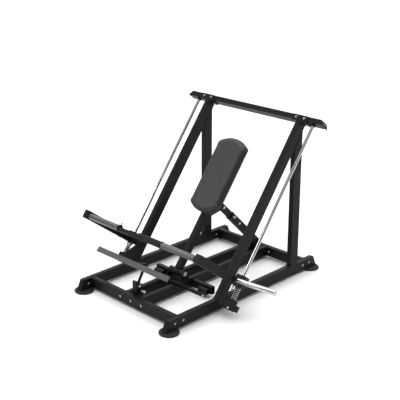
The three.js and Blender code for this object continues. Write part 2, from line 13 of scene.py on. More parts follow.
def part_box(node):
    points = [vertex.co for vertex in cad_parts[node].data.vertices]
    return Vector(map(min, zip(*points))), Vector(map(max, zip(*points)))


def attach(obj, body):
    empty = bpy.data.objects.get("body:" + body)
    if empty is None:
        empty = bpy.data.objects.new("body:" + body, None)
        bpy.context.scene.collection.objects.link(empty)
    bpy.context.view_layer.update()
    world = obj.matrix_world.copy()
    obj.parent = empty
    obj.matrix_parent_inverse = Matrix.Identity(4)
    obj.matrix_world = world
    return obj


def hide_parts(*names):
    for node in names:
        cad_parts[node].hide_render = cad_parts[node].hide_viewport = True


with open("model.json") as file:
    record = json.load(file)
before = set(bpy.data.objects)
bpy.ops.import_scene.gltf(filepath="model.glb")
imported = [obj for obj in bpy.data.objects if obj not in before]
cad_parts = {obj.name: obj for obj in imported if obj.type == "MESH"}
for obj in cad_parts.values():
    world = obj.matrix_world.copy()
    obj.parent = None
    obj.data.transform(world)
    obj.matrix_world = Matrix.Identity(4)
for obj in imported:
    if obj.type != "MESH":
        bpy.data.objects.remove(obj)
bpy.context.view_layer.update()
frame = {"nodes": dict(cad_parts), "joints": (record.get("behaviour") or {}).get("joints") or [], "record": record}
random.seed(7)

MM = 0.001

# ---------- places taken from the frame ----------
JOINTS = {j["name"]: j for j in frame["joints"]}
RIGHT = Vector((1, 0, 0))
UPHILL = Vector(JOINTS["carriage_slide"]["axis"]).normalized()
BEHIND = RIGHT.cross(UPHILL) * -1
RAIL_FOOT = Vector((0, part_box("inclined_rail_left")[0].y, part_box("inclined_rail_left")[0].z))
PAD_PIVOT = Vector(JOINTS["pad_tilt"]["pos_m"])
PAD_ANGLE = math.radians(52.5)
PAD_UP = Vector((0, math.cos(PAD_ANGLE), math.sin(PAD_ANGLE)))
PAD_BEHIND = RIGHT.cross(PAD_UP) * -1
STRUT_FOOT = Vector(JOINTS["strut_swing"]["pos_m"])
STRUT_UP = Vector(JOINTS["strut_slide"]["axis"]).normalized()
STRUT_ABOVE = RIGHT.cross(STRUT_UP) * -1
FOOTREST_HINGE = Vector(JOINTS["footrest_tilt"]["pos_m"])
SIDES = ((-1, "left"), (1, "right"))
FRONTWARD, REARWARD, UPWARD = Vector((0, -1, 0)), Vector((0, 1, 0)), Vector((0, 0, 1))

# ---------- sizes in millimetres; "behind" and "uphill" are measured in the rails' frame ----------
RAIL_X, RAIL_WIDTH, RAIL_DEPTH, RAIL_LENGTH = 575, 50, 95, 1770.7
ROD_X, ROD_BEHIND, ROD_RADIUS, ROD_LENGTH = 721, 43, 15, 1780.7
SPRING = {"low": 63, "high": 154, "radius": 24, "wire": 4, "turns": 6.5}
ARM_X, ARM_FACE_BEHIND, ARM_HALF_WIDTH, ARM_HALF_HEIGHT = 730, -2.2, 30, 39
BAR_X, BAR_BEHIND, BAR_UPHILL = 271, -600, 210
HORN_X, HORN_BEHIND, HORN_UPHILL = 760.3, -85, 217
HORN_TILT = math.radians(3.2)
HORN_LENGTH, HORN_RADIUS = 436.7, 24
STOP_X, STOP_BEHIND = 686, 12
POST_HALF = 30
PAD_REAR, PAD_SEAM = -42.6, -82.0
STRUT_HALF, STRUT_HALF_DEPTH, STRUT_MOUTH = 25.5, 38.5, 557


def on_slope(x, behind, uphill):
    """A point at x, behind the rails' front plane and uphill along it, in millimetres."""
    return RAIL_FOOT + RIGHT * (x * MM) + BEHIND * (behind * MM) + UPHILL * (uphill * MM)


def on_pad(x, behind, up):
    """A point in the pad post's frame, in millimetres."""
    return PAD_PIVOT + RIGHT * (x * MM) + PAD_BEHIND * (behind * MM) + PAD_UP * (up * MM)


def on_strut(x, above, up):
    """A point in the strut's frame, in millimetres."""
    return STRUT_FOOT + RIGHT * (x * MM) + STRUT_ABOVE * (above * MM) + STRUT_UP * (up * MM)


# ---------- materials ----------
class Nodes:
    """A small builder for a node material on one Principled shader."""

    def __init__(self, name):
        self.material = bpy.data.materials.new(name)
        self.material.use_nodes = True
        self.tree = self.material.node_tree
        self.shader = self.tree.nodes["Principled BSDF"]
        self.place = self.tree.nodes.new("ShaderNodeTexCoord").outputs["Object"]

    def node(self, kind, **settings):
        node = self.tree.nodes.new(kind)
        for key, value in settings.items():
            setattr(node, key, value)
        return node

    def link(self, out, socket):
        self.tree.links.new(out, socket)

    def noise(self, scale, detail=3.0, roughness=0.5, stretch=None):
        node = self.node("ShaderNodeTexNoise")
        node.inputs["Scale"].default_value = scale
        node.inputs["Detail"].default_value = detail
        node.inputs["Roughness"].default_value = roughness
        self.link(self.stretched(stretch), node.inputs["Vector"])
        return node.outputs["Fac"]

    def cells(self, scale, feature="F1"):
        node = self.node("ShaderNodeTexVoronoi", feature=feature)
        node.inputs["Scale"].default_value = scale
        self.link(self.place, node.inputs["Vector"])
        return node.outputs["Distance"]

    def stretched(self, stretch):
        if stretch is None:
            return self.place
        mapping = self.node("ShaderNodeMapping")
        mapping.inputs["Scale"].default_value = stretch
        self.link(self.place, mapping.inputs["Vector"])
        return mapping.outputs["Vector"]

    def ramp(self, fac, low, high):
        """Maps fac between two (position, colour) stops."""
        node = self.node("ShaderNodeValToRGB")
        for stop, (position, colour) in zip(node.color_ramp.elements, (low, high)):
            stop.position = position
            stop.color = (*colour, 1)
        self.link(fac, node.inputs["Fac"])
        return node.outputs["Color"]

    def spread(self, fac, low, high, start=0.3, end=0.7):
        node = self.node("ShaderNodeMapRange")
        for key, value in (("From Min", start), ("From Max", end), ("To Min", low), ("To Max", high)):
            node.inputs[key].default_value = value
        self.link(fac, node.inputs["Value"])
        return node.outputs["Result"]

    def along(self, direction, start, end):
        """Rises from 0 to 1 between two distances along a direction."""
        node = self.node("ShaderNodeVectorMath", operation="DOT_PRODUCT")
        self.link(self.place, node.inputs[0])
        node.inputs[1].default_value = direction
        return self.spread(node.outputs["Value"], 0.0, 1.0, start, end)

    def mix(self, fac, a, b):
        node = self.node("ShaderNodeMix", data_type="RGBA")
        self.link(fac, node.inputs["Factor"])
        self.link(a, node.inputs["A"])
        self.link(b, node.inputs["B"])
        return node.outputs["Result"]

    def add(self, a, b, weight):
        node = self.node("ShaderNodeMath", operation="MULTIPLY_ADD")
        self.link(b, node.inputs[0])
        node.inputs[1].default_value = weight
        self.link(a, node.inputs[2])
        return node.outputs["Value"]

    def bump(self, height, strength, distance):
        node = self.node("ShaderNodeBump")
        node.inputs["Strength"].default_value = strength
        node.inputs["Distance"].default_value = distance
        self.link(height, node.inputs["Height"])
        self.link(node.outputs["Normal"], self.shader.inputs["Normal"])

    def set(self, **values):
        for key, value in values.items():
            self.shader.inputs[key.replace("_", " ")].default_value = value


def grey(value, tint=0.0):
    return (value, value, value * (1 + tint))


def powder_coat(name, dark, light, rough, shine=0.16):
    """Satin powder coat: orange-peel bump, faint cloudiness, and dust that dulls it in patches."""
    m = Nodes(name)
    cloud = m.noise(5, 4)
    dust = m.noise(38, 6, 0.65)
    base = m.ramp(cloud, (0.3, grey(dark, 0.05)), (0.7, grey(light, 0.06)))
    dusty = m.ramp(dust, (0.3, grey(light, 0.03)), (0.75, grey(light * 1.9, 0.0)))
    m.link(m.mix(m.spread(dust, 0.0, 0.35, 0.52, 0.75), base, dusty), m.shader.inputs["Base Color"])
    m.link(m.spread(m.noise(60, 4), rough - 0.07, rough + 0.08), m.shader.inputs["Roughness"])
    m.bump(m.add(m.noise(650, 2), m.noise(2400, 1), 0.3), 0.16, 0.0004)
    m.set(Specular_IOR_Level=shine)
    return m.material


def polished_metal(name, colour, rough, brushed):
    """Chrome or zinc with hairline polishing marks and a faint handled haze."""
    m = Nodes(name)
    haze = m.noise(22, 5, 0.6)
    tone = m.ramp(haze, (0.3, colour), (0.75, tuple(c * 0.9 for c in colour)))
    m.link(tone, m.shader.inputs["Base Color"])
    lines = m.noise(40, 3, 0.6, stretch=(60, 2, 2))
    worn = m.add(haze, lines, 0.5)
    m.link(m.spread(worn, rough * 0.85, rough * 1.3, 0.5, 1.1), m.shader.inputs["Roughness"])
    m.bump(lines, brushed, 0.00008)
    m.set(Metallic=1.0)
    return m.material


def rubber(name, dark, light):
    """Moulded rubber with a fine stipple and a dusty bloom."""
    m = Nodes(name)
    bloom = m.noise(30, 5, 0.6)
    m.link(m.ramp(bloom, (0.35, grey(dark)), (0.75, grey(light))), m.shader.inputs["Base Color"])
    m.link(m.spread(bloom, 0.66, 0.86), m.shader.inputs["Roughness"])
    m.bump(m.noise(1500, 2), 0.3, 0.0004)
    return m.material


def vinyl(name, dark, light, side=None):
    """Upholstery vinyl: small irregular grain with creases between its cells, the creases darkened with painted
    shade.

    side is the tone of everything but the front panel.
    """
    m = Nodes(name)
    cloud = m.noise(7, 4)
    grain = m.cells(620, "DISTANCE_TO_EDGE")
    tone = m.ramp(cloud, (0.3, grey(dark, 0.04)), (0.7, grey(light, 0.04)))
    # painted shade: the creases between the grain's cells are coloured darker than the cells
    crease_shade = m.ramp(grain, (0.0, grey(dark * 0.6)), (0.12, grey(light, 0.04)))
    colour = m.mix(m.spread(grain, 1.0, 0.0, 0.0, 0.1), tone, crease_shade)
    if side:
        darker = m.ramp(cloud, (0.3, grey(side)), (0.7, grey(side * 1.3)))
        colour = m.mix(m.along(PAD_BEHIND, *PANEL_EDGE), colour, darker)
    m.link(colour, m.shader.inputs["Base Color"])
    m.link(m.spread(m.noise(90, 4), 0.42, 0.56), m.shader.inputs["Roughness"])
    m.bump(m.add(m.spread(grain, 0.0, 1.0, 0.0, 0.14), m.noise(160, 3), 0.35), 0.28, 0.0005)
    m.set(Sheen_Weight=0.08, Sheen_Roughness=0.4)
    return m.material


def grit(name, dark, light):
    """Grit-coated foot surface: sharp grains in a grey binder."""
    m = Nodes(name)
    grains = m.cells(900)
    speck = m.noise(1400, 2, 0.7)
    tone = m.ramp(speck, (0.38, grey(dark)), (0.62, grey(light)))
    scuffs = m.ramp(m.noise(16, 5, 0.65), (0.35, grey(dark * 0.8)), (0.65, grey(light * 1.05)))
    m.link(m.mix(m.spread(m.noise(9, 3), 0.15, 0.55), tone, scuffs), m.shader.inputs["Base Color"])
    m.link(m.spread(speck, 0.7, 0.95), m.shader.inputs["Roughness"])
    m.bump(m.add(grains, speck, 0.8), 0.6, 0.0009)
    return m.material


def plywood(name):
    """Black-stained plywood: the edge shows its layers faintly."""
    m = Nodes(name)
    layers = m.noise(6, 3, 0.5, stretch=(1, 60, 60))
    tone = m.ramp(layers, (0.3, (0.012, 0.011, 0.01)), (0.7, (0.03, 0.027, 0.024)))
    m.link(tone, m.shader.inputs["Base Color"])
    m.link(m.spread(layers, 0.6, 0.8), m.shader.inputs["Roughness"])
    m.bump(layers, 0.2, 0.0005)
    return m.material


BLACK = powder_coat("powder_black", 0.0042, 0.0062, 0.47)
CHROME = polished_metal("chrome", (0.55, 0.56, 0.575), 0.17, 0.02)
ZINC = polished_metal("zinc_hardware", (0.5, 0.51, 0.52), 0.24, 0.1)
STEEL = polished_metal("bearing_steel", (0.2, 0.2, 0.21), 0.32, 0.2)
FOOT = rubber("foot_rubber", 0.0055, 0.009)
FOAM = rubber("block_rubber", 0.004, 0.007)
NYLON = rubber("black_nylon", 0.01, 0.02)
PANEL_EDGE = tuple(PAD_PIVOT.dot(PAD_BEHIND) + (PAD_SEAM + d) * MM for d in (-0.5, 0.5))
VINYL = vinyl("pad_vinyl", 0.0145, 0.0195, side=0.005)
SEAM = vinyl("pad_seam", 0.009, 0.013)
GRIP = powder_coat("press_bar_satin", 0.045, 0.065, 0.3, 0.6)
GRIT = grit("grip_grey", 0.06, 0.11)
PLY = plywood("pad_backing")

SLOT_MATERIAL = {
    "powder_black": BLACK,
    "chrome": CHROME,
    "foot_rubber": FOOT,
    "block_rubber": FOAM,
    "pad_vinyl": VINYL,
    "pad_backing": PLY,
    "grip_grey": GRIT,
    "bearing_steel": STEEL,
}


# ---------- mesh helpers ----------
def turns(count):
    """Angles that share a full turn evenly."""
    return [2 * math.pi * i / count for i in range(count)]


def lathe(profile, segments):
    """(vertices, faces) of (radius, height) points turned about z; a radius of 0 is a single point."""
    vertices, rings = [], []
    for radius, height in profile:
        count = 1 if radius < 1e-9 else segments
        rings.append([len(vertices) + i for i in range(count)])
        for angle in turns(count):
            vertices.append(Vector((radius * math.cos(angle), radius * math.sin(angle), height)))
    faces = []
    for low, high in zip(rings, rings[1:]):
        for i in range(segments):
            j = (i + 1) % segments
            corners = [low[i % len(low)], low[j % len(low)], high[j % len(high)], high[i % len(high)]]
            face = list(dict.fromkeys(corners))
            if len(face) > 2:
                faces.append(face)
    return vertices, faces


def turned_mm(profile, segments=48):
    """A lathed shape from (radius, height) points in millimetres."""
    return lathe([(radius * MM, height * MM) for radius, height in profile], segments)


def hollow_mm(inner, outer, low, high, segments):
    """A flat-ended ring between two radii and two heights, in millimetres."""
    return turned_mm([(inner, low), (outer, low), (outer, high), (inner, high)], segments)


def placed(shape, point, direction, turn=0.0):
    """A shape made along z, moved so that its z runs along direction from point."""
    vertices, faces = shape
    rotation = Vector(direction).to_track_quat("Z", "Y").to_matrix() @ Matrix.Rotation(turn, 3, "Z")
    return [rotation @ v + point for v in vertices], faces


def merged(shapes):
    vertices, faces = [], []
    for shape_vertices, shape_faces in shapes:
        start = len(vertices)
        vertices.extend(shape_vertices)
        faces.extend([start + i for i in face] for face in shape_faces)
    return vertices, faces


def crisp(obj, width, segments=2):
    """Rounds an object's hard edges by a small bevel, and shades its flats flat and its curves smooth."""
    weld = obj.modifiers.new("weld", "WELD")
    weld.merge_threshold = 0.00002
    bevel = obj.modifiers.new("bevel", "BEVEL")
    bevel.width = width
    bevel.segments = segments
    bevel.limit_method = "ANGLE"
    bevel.angle_limit = math.radians(38)
    bevel.use_clamp_overlap = True
    normals = obj.modifiers.new("normals", "WEIGHTED_NORMAL")
    normals.weight = 60
    obj.data.polygons.foreach_set("use_smooth", [True] * len(obj.data.polygons))


def piece(name, shape, material, body, bevel=None):
    """A new object of (vertices, faces), riding on a body."""
    vertices, faces = shape
    mesh = bpy.data.meshes.new(name)
    mesh.from_pydata([tuple(v) for v in vertices], [], faces)
    bm = bmesh.new()
    bm.from_mesh(mesh)
    bmesh.ops.recalc_face_normals(bm, faces=bm.faces)
    bm.to_mesh(mesh)
    bm.free()
    mesh.materials.append(material)
    mesh.polygons.foreach_set("use_smooth", [True] * len(mesh.polygons))
    obj = bpy.data.objects.new(name, mesh)
    bpy.context.scene.collection.objects.link(obj)
    if bevel:
        crisp(obj, bevel)
    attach(obj, body)
    return obj


def sharp_shading(obj):
    """Keeps the creases of a turned piece sharp while its curved sides stay smooth."""
    mesh = obj.data
    bm = bmesh.new()
    bm.from_mesh(mesh)
    sharp_angle = math.radians(35)
    for edge in bm.edges:
        if len(edge.link_faces) == 2 and edge.calc_face_angle() > sharp_angle:
            edge.smooth = False
    bm.to_mesh(mesh)
    bm.free()


def swept(path, radius, sides=8, closed=False):
    """A tube round a path; radius is a number or a function of the ring's index."""
    count = len(path)
    size = radius if callable(radius) else (lambda i: radius)
    vertices, faces = [], []
    normal = None
    for i, point in enumerate(path):
        ahead = path[(i + 1) % count] if closed or i < count - 1 else point
        back = path[i - 1] if closed or i > 0 else point
        tangent = (ahead - back).normalized()
        if normal is None:
            normal = tangent.orthogonal().normalized()
        normal = (normal - tangent * normal.dot(tangent)).normalized()
        side = tangent.cross(normal)
        for angle in turns(sides):
            vertices.append(point + (normal * math.cos(angle) + side * math.sin(angle)) * size(i))
    rings = count if closed else count - 1
    for i in range(rings):
        a, b = i * sides, ((i + 1) % count) * sides
        for k in range(sides):
            n = (k + 1) % sides
            faces.append([a + k, a + n, b + n, b + k])
    if not closed:
        faces.append(list(range(sides))[::-1])
        faces.append([(count - 1) * sides + k for k in range(sides)])
    return vertices, faces


def resampled(corners, step, closed):
    """Points along straight stretches between corners, a step apart."""
    points = []
    ends = list(zip(corners, corners[1:] + corners[:1] if closed else corners[1:]))
    for a, b in ends[: len(corners) if closed else len(corners) - 1]:
        count = max(1, round((b - a).length / step))
        points.extend(a.lerp(b, i / count) for i in range(count))
    if not closed:
        points.append(corners[-1])
    return points


CORNERS = ((-1, -1), (1, -1), (1, 1), (-1, 1))


def rectangle_at(centre, u, v, half_u, half_v):
    """Corners of a rectangle whose sides run along u and v."""
    return [centre + u * (a * half_u) + v * (b * half_v) for a, b in CORNERS]


def ring_on_slope(x, behind, uphill, radius, count=40):
    """Corners of a circle about an X axis, in the rails' frame."""
    centre = on_slope(x, behind, uphill)
    return [centre + (BEHIND * math.cos(t) + UPHILL * math.sin(t)) * (radius * MM) for t in turns(count)]


# ---------- hardware ----------
def washer(radius, thickness=2.0):
    return hollow_mm(radius * 0.45, radius, 0, thickness, 28)


def hex_head(size, height, start=2.0):
    """A hexagon head of the given width across corners, chamfered on top, with a forged dish."""
    r = size / 2
    top = start + height
    chamfer = [(0, start), (r, start), (r, top - 0.14 * height), (r * 0.9, top)]
    dish = [(r * 0.55, top), (r * 0.5, top - 0.6), (0, top - 0.6)]
    return turned_mm(chamfer + dish, 6)


def button_head(radius, height, start=2.0):
    """A domed cap screw with a socket."""
    dome = [(radius * math.cos(t), start + height * math.sin(t)) for t in (0.35, 0.7, 1.05)]
    socket = radius * 0.42
    bottom = start + height * 0.35
    hole = [(socket, start + height * 0.93), (socket, bottom), (0, bottom)]
    return turned_mm([(0, start), (radius, start), *dome, *hole], 24)


def hex_bolts(name, body, places, size, height):
    """Hexagon bolts with washers at (point, outward direction) places, as one piece."""
    shapes = []
    for point, direction in places:
        shapes.append(placed(washer(size * 0.68), point, direction))
        shapes.append(placed(hex_head(size, height), point, direction, random.uniform(0, 1)))
    return piece(name, merged(shapes), ZINC, body, 0.6 * MM)


def button_bolts(name, body, places, radius, height):
    """Domed socket screws with washers at (point, outward direction) places, as one piece."""
    shapes = []
    for point, direction in places:
        shapes.append(placed(washer(radius * 1.35, 1.6), point, direction))
        shapes.append(placed(button_head(radius, height, 1.6), point, direction))
    return piece(name, merged(shapes), ZINC, body, 0.3 * MM)


def weld_bead(corners, radius, closed):
    """A rippled bead along straight stretches between corners."""
    path = resampled(corners, 3.4 * MM, closed)
    ripple = [1 + 0.16 * math.sin(i * 2.1) + random.uniform(-0.07, 0.07) for i in range(len(path))]
    return swept(path, lambda i: radius * MM * ripple[i], 7, closed)


def weld(name, body, beads, radius):
    """Several beads as one coated piece. Each bead is (corners, closed)."""
    shapes = [weld_bead(corners, radius, closed) for corners, closed in beads]
    return piece(name, merged(shapes), BLACK, body)


# ---------- CAD nodes: materials and edge rounding ----------
def dress_cad_nodes():
    slots = {s["node"]: s["material_slot"] for s in frame["record"]["subparts"]}
    for name, obj in frame["nodes"].items():
        obj.data.materials.clear()
        obj.data.materials.append(SLOT_MATERIAL[slots[name]])
        if name.startswith("bumper_spring"):
            obj.data.polygons.foreach_set("use_smooth", [True] * len(obj.data.polygons))
        elif "tube" in name or "rail_" in name or "post" in name or name == "top_crossbar":
            crisp(obj, 2.2 * MM, segments=3)
        else:
            crisp(obj, 1.0 * MM)


# ---------- base frame hardware ----------
def base_bolts(name, places):
    button_bolts(name, "frame", places, 8.5, 6)


def base_hardware():
    spread, rise, beyond, inside = 48 * MM, 6 * MM, 60 * MM, 31 * MM
    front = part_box("front_cross_tube")
    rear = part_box("rear_cross_tube")
    middle = (front[0].z + front[1].z) / 2
    for sign, side in SIDES:
        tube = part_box(f"side_tube_{side}")
        outer, inner = (tube[0].x, tube[1].x) if sign < 0 else (tube[1].x, tube[0].x)
        outward, inward = RIGHT * sign, RIGHT * -sign
        places = []
        for cross, away in ((front, -1), (rear, 1)):
            y = (cross[0].y + cross[1].y) / 2
            places.append((Vector((outer, y - spread, middle + rise)), outward))
            places.append((Vector((outer, y + spread, middle + rise)), outward))
            places.append((Vector((inner, y + away * beyond, middle)), inward))
        places.append((Vector((inner, rear[0].y - inside, middle)), inward))
        base_bolts(f"base_corner_bolts_{side}", places)
    rows = (
        ("front_cross_bolts", front[0].y, FRONTWARD, (-140, 0, 140)),
        ("rear_cross_bolts", rear[1].y, REARWARD, (-92, 92)),
        ("rear_cross_inner_bolts", rear[0].y, FRONTWARD, (-148, 148)),
    )
    for name, y, direction, positions in rows:
        base_bolts(name, [(Vector((x * MM, y, middle)), direction) for x in positions])


def base_welds():
    beads = []
    for cross, end in (("front_cross_tube", 0), ("rear_cross_tube", 1)):
        low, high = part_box(cross)
        centre, half = (low + high) / 2, (high - low) / 2
        for sign, side in SIDES:
            tube_end = Vector((low.x if sign < 0 else high.x, centre.y, centre.z))
            beads.append((rectangle_at(tube_end, REARWARD, UPWARD, half.y, half.z), True))
            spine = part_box(f"spine_tube_{side}")
            middle, spine_half = (spine[0] + spine[1]) / 2, (spine[1] - spine[0]) / 2
            spine_end = Vector((middle.x, spine[end].y, middle.z))
            beads.append((rectangle_at(spine_end, RIGHT, UPWARD, spine_half.x, spine_half.z), True))
    weld("base_welds", "frame", beads, 2.8)


def rail_and_post_welds():
    """Beads round the posts' feet, the rails' feet and where each post meets its rail's back."""
    beads = []
    for _, side in SIDES:
        low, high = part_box(f"rear_post_{side}")
        foot = Vector(((low.x + high.x) / 2, (low.y + high.y) / 2, low.z))
        beads.append((rectangle_at(foot, RIGHT, REARWARD, (high.x - low.x) / 2, (high.y - low.y) / 2), True))
        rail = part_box(f"inclined_rail_{side}")
        x0, x1 = rail[0].x, rail[1].x
        depth = RAIL_DEPTH / math.sin(math.atan2(UPHILL.z, UPHILL.y)) * MM
        centre = Vector(((x0 + x1) / 2, RAIL_FOOT.y + depth / 2, RAIL_FOOT.z))
        beads.append((rectangle_at(centre, RIGHT, REARWARD, (x1 - x0) / 2, depth / 2), True))
        corners = [
            Vector((low.x, low.y, rail_back_height(low.y))),
            Vector((high.x, low.y, rail_back_height(low.y))),
            Vector((high.x, high.y, rail_back_height(high.y))),
            Vector((low.x, high.y, rail_back_height(high.y))),
        ]
        beads.append((corners, True))
    weld("rail_and_post_welds", "frame", beads, 3.2)


def rail_back_height(y):
    """The height of the rails' back plane at y."""
    uphill = (y - RAIL_FOOT.y - BEHIND.y * RAIL_DEPTH * MM) / UPHILL.y
    return RAIL_FOOT.z + UPHILL.z * uphill + BEHIND.z * RAIL_DEPTH * MM


def low_cross_hardware():
    bolt_inset, half_y, half_z = 16 * MM, 22.5 * MM, 36.5 * MM
    low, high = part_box("spine_cross_bar")
    height = (low.z + high.z) / 2
    places = [(Vector((x, low.y, height)), FRONTWARD) for x in (low.x + bolt_inset, high.x - bolt_inset)]
    hex_bolts("spine_bar_bolts", "frame", places, 20, 9)
    beads = []
    for sign, side in SIDES:
        low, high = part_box(f"low_cross_stub_{side}")
        root = Vector((high.x if sign < 0 else low.x, high.y - half_y, high.z - half_z))
        beads.append((rectangle_at(root, REARWARD, UPWARD, half_y, half_z), True))
    weld("low_cross_welds", "frame", beads, 2.6)


# ---------- slope hardware ----------
def crossbar_hardware():
    saddle_front, bolt_height = -6.3, 1804
    bar_middle, bar_underside = 60, 1771
    places, ends, nuts, beads = [], [], [], []
    for sign, _ in SIDES:
        for x in (540, 632):
            places.append((on_slope(sign * x, saddle_front, bolt_height), -BEHIND))
        for x in (530, 642):
            nuts.append((on_slope(sign * x, bar_middle, bar_underside), -UPHILL))
        slanted = (RIGHT * sign * 50 + UPHILL * 35).normalized()
        ends.append((on_slope(sign * 826, 49, 1806), slanted))
        head = on_slope(sign * RAIL_X, RAIL_DEPTH / 2, RAIL_LENGTH)
        corners = rectangle_at(head, RIGHT, BEHIND, RAIL_WIDTH / 2 * MM, RAIL_DEPTH / 2 * MM)
        beads.append((corners, True))
    hex_bolts("crossbar_bolts", "frame", places, 17, 8)
    hex_bolts("crossbar_nuts", "frame", nuts, 17, 8)
    button_bolts("crossbar_end_screws", "frame", ends, 6, 4)
    weld("rail_head_welds", "frame", beads, 3.0)


def guide_rod_hardware():
    """Rods, springs with their cores, end collars, and the foot blocks' bolts and welds."""
    bore = ROD_RADIUS + 0.3
    weld_behind = 3.6
    end = ROD_LENGTH
    bolts, beads, sleeves, collars = [], [], [], []
    for sign, side in SIDES:
        foot = on_slope(sign * ROD_X, ROD_BEHIND, 0)
        bolts.append((on_slope(sign * 740, 4, -24), -BEHIND))
        sleeve = turned_mm([(bore, 58.2), (17.5, 58.2), (17.5, 150), (bore, 152)], 28)
        sleeves.append(placed(sleeve, foot, UPHILL))
        collars.append(placed(hollow_mm(17.8, 29, 58.2, 60.5, 32), foot, UPHILL))
        collars.append(placed(hollow_mm(bore, 23, 1766, 1780, 32), foot, UPHILL))
        for x, low, high in ((600.5, 6, 178), (674, -36, 56)):
            bead = [on_slope(sign * x, weld_behind, low), on_slope(sign * x, weld_behind, high)]
            beads.append((bead, False))
        coil = piece(f"spring_coil_{side}", fine_spring(foot), CHROME, "frame")
        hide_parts(f"bumper_spring_{side}")
        chamfer = ROD_RADIUS - 0.8
        lower = [(0, 58.4), (chamfer, 58.4), (ROD_RADIUS, 59.2)]
        upper = [(ROD_RADIUS, end - 0.7), (chamfer, end), (0, end)]
        shaft = turned_mm(lower + upper, 64)
        rod = piece(f"polished_rod_{side}", placed(shaft, foot, UPHILL), CHROME, "frame")
        sharp_shading(rod)
        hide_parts(f"guide_rod_{side}")
    hex_bolts("rod_foot_bolts", "frame", bolts, 14, 6)
    piece("spring_cores", merged(sleeves), NYLON, "frame", 0.6 * MM)
    piece("rod_end_collars", merged(collars), BLACK, "frame", 0.6 * MM)
    weld("rod_foot_welds", "frame", beads, 2.8)


def fine_spring(foot):
    """A round-wire coil with closed ends, standing on the rod's foot block."""
    steps, closed_part = 28, 0.08
    low, high, count = SPRING["low"], SPRING["high"], SPRING["turns"]
    total = round(count * steps)
    path = []
    for i in range(total + 1):
        t = i / total
        eased = min(max((t - closed_part) / (1 - 2 * closed_part), 0), 1)
        angle = 2 * math.pi * count * t
        around = RIGHT * math.cos(angle) + BEHIND * math.sin(angle)
        height = low + (high - low) * eased
        path.append(foot + around * (SPRING["radius"] * MM) + UPHILL * (height * MM))
    return swept(path, SPRING["wire"] * MM, 10)


def horns_and_bars():
    for sign, side in SIDES:
        outward = RIGHT * sign
        weight_horn(side, on_slope(sign * HORN_X, HORN_BEHIND, HORN_UPHILL), sign)
        press_bar(side, on_slope(sign * BAR_X, BAR_BEHIND, BAR_UPHILL), outward)
        stop_screw(side, sign)


def turned_piece(name, shape, material, node):
    """A turned piece on the carriage that stands in for a CAD node."""
    obj = piece(name, shape, material, "carriage")
    sharp_shading(obj)
    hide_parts(node)


def weight_horn(side, start, sign):
    outward = RIGHT * (sign * math.cos(HORN_TILT)) + UPHILL * math.sin(HORN_TILT)
    r, tip = HORN_RADIUS, HORN_LENGTH
    rounded_tip = [(r, tip - 5), (23.4, tip - 2.6), (21.8, tip - 0.8), (19.6, tip), (0, tip)]
    tube = placed(turned_mm([(0, 8), (r, 8), *rounded_tip], 64), start, outward)
    turned_piece(f"horn_tube_{side}", tube, CHROME, f"weight_horn_{side}")
    plate = [(0, 0.2), (41, 0.2), (42, 1.2), (42, 9), (41, 10), (30, 10)]
    fillet = [(27, 15), (24.2, 17), (0, 17)]
    flange = placed(turned_mm(plate + fillet), start, RIGHT * sign)
    turned_piece(f"horn_flange_{side}", flange, BLACK, f"weight_horn_{side}")


def press_bar(side, start, outward):
    length, inner, outer = 422, 27.2, 28.5
    skin = [(inner, 10), (outer, 11.4), (outer, length - 1), (inner, length)]
    sleeve = placed(turned_mm([*skin, (0, length), (0, 10), (inner, 10)], 64), start, outward)
    turned_piece(f"bar_sleeve_{side}", sleeve, GRIP, f"press_bar_{side}")
    rings = []
    for low, high, radius in ((0.2, 12, 34), (418, 428.4, 33)):
        edge = [(radius - 1, low), (radius, low + 1), (radius, high - 1), (radius - 1, high)]
        rings.append(placed(turned_mm([(0, low), *edge, (0, high)]), start, outward))
    turned_piece(f"bar_collars_{side}", merged(rings), BLACK, f"press_bar_{side}")


def stop_screw(side, sign):
    """The carriage's stop screw, with its head downhill and its nut uphill."""
    place = [on_slope(sign * STOP_X, STOP_BEHIND, uphill) for uphill in (0, 134, 161)]
    shank = turned_mm([(0, 133), (8, 133), (8, 175.6), (0, 175.6)], 32)
    shapes = [
        placed(shank, place[0], UPHILL),
        placed(hex_head(23, 8, 0), place[1], -UPHILL),
        placed(hex_head(21, 6, 0), place[2], UPHILL),
    ]
    stop = piece(f"stop_screw_{side}", merged(shapes), ZINC, "carriage", 0.4 * MM)
    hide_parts(f"stop_bolt_{side}")


def pull_pin(name, node, body, barrel):
    """A plunger with a turned knob, lying along X from the node's inner end."""
    low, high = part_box(node)
    start = Vector((low.x, (low.y + high.y) / 2, (low.z + high.z) / 2))
    knob = [(6, 2), (6, 10), (10.6, 11.5), (12.6, 14), (13, 18), (12.4, 23), (10, 27), (6, 29), (0, 29.4)]
    beyond = [(radius, barrel + height) for radius, height in knob]
    profile = [(0, 0), (9, 0), (9, barrel - 1), (8, barrel), *beyond]
    pin = piece(name, placed(turned_mm(profile), start, RIGHT), ZINC, body)
    sharp_shading(pin)
    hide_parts(node)


